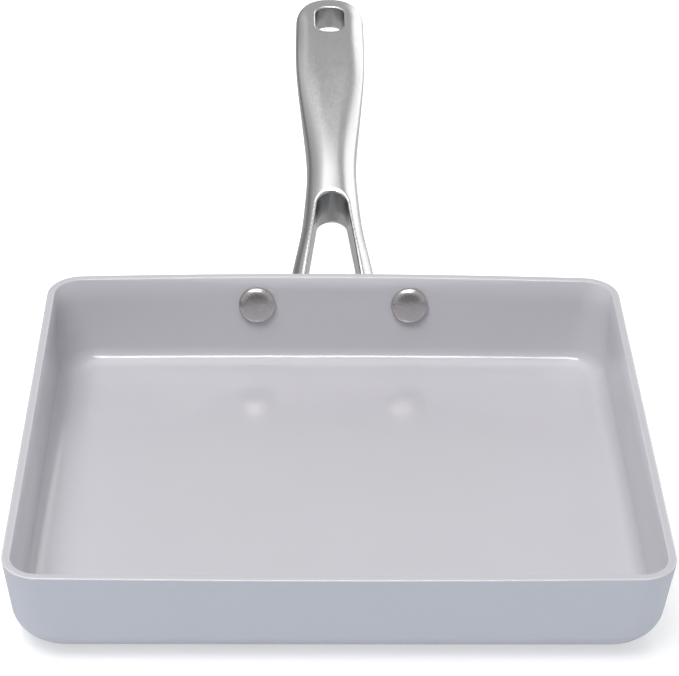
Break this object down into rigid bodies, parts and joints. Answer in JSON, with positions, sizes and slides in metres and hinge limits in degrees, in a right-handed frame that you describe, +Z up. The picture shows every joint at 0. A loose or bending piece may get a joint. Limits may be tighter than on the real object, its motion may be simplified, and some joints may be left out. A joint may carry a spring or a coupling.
{
  "type": "tamagoyaki pan",
  "caption": "Rectangular omelette pan with drafted walls, a non-stick interior and a forked cast steel handle riveted to its rear wall.",
  "frame": {"origin": "middle of the flat underside that the pan stands on", "axes": "+X across the pan, along the riveted wall; +Y from the front wall towards the handle's tip; +Z up out of the pan"},
  "size_m": [0.215, 0.3811, 0.0662],
  "materials": {
    "pan_body": "cast aluminium with a blue-grey satin coat outside and a pale lilac-grey ceramic non-stick coat inside",
    "handle": "satin-brushed stainless casting",
    "rivet": "polished stainless"
  },
  "bodies": {
    "root": {"pan_body": "pan_body", "handle": "handle", "rivet_left": "rivet", "rivet_right": "rivet"}
  },
  "joints": []
}
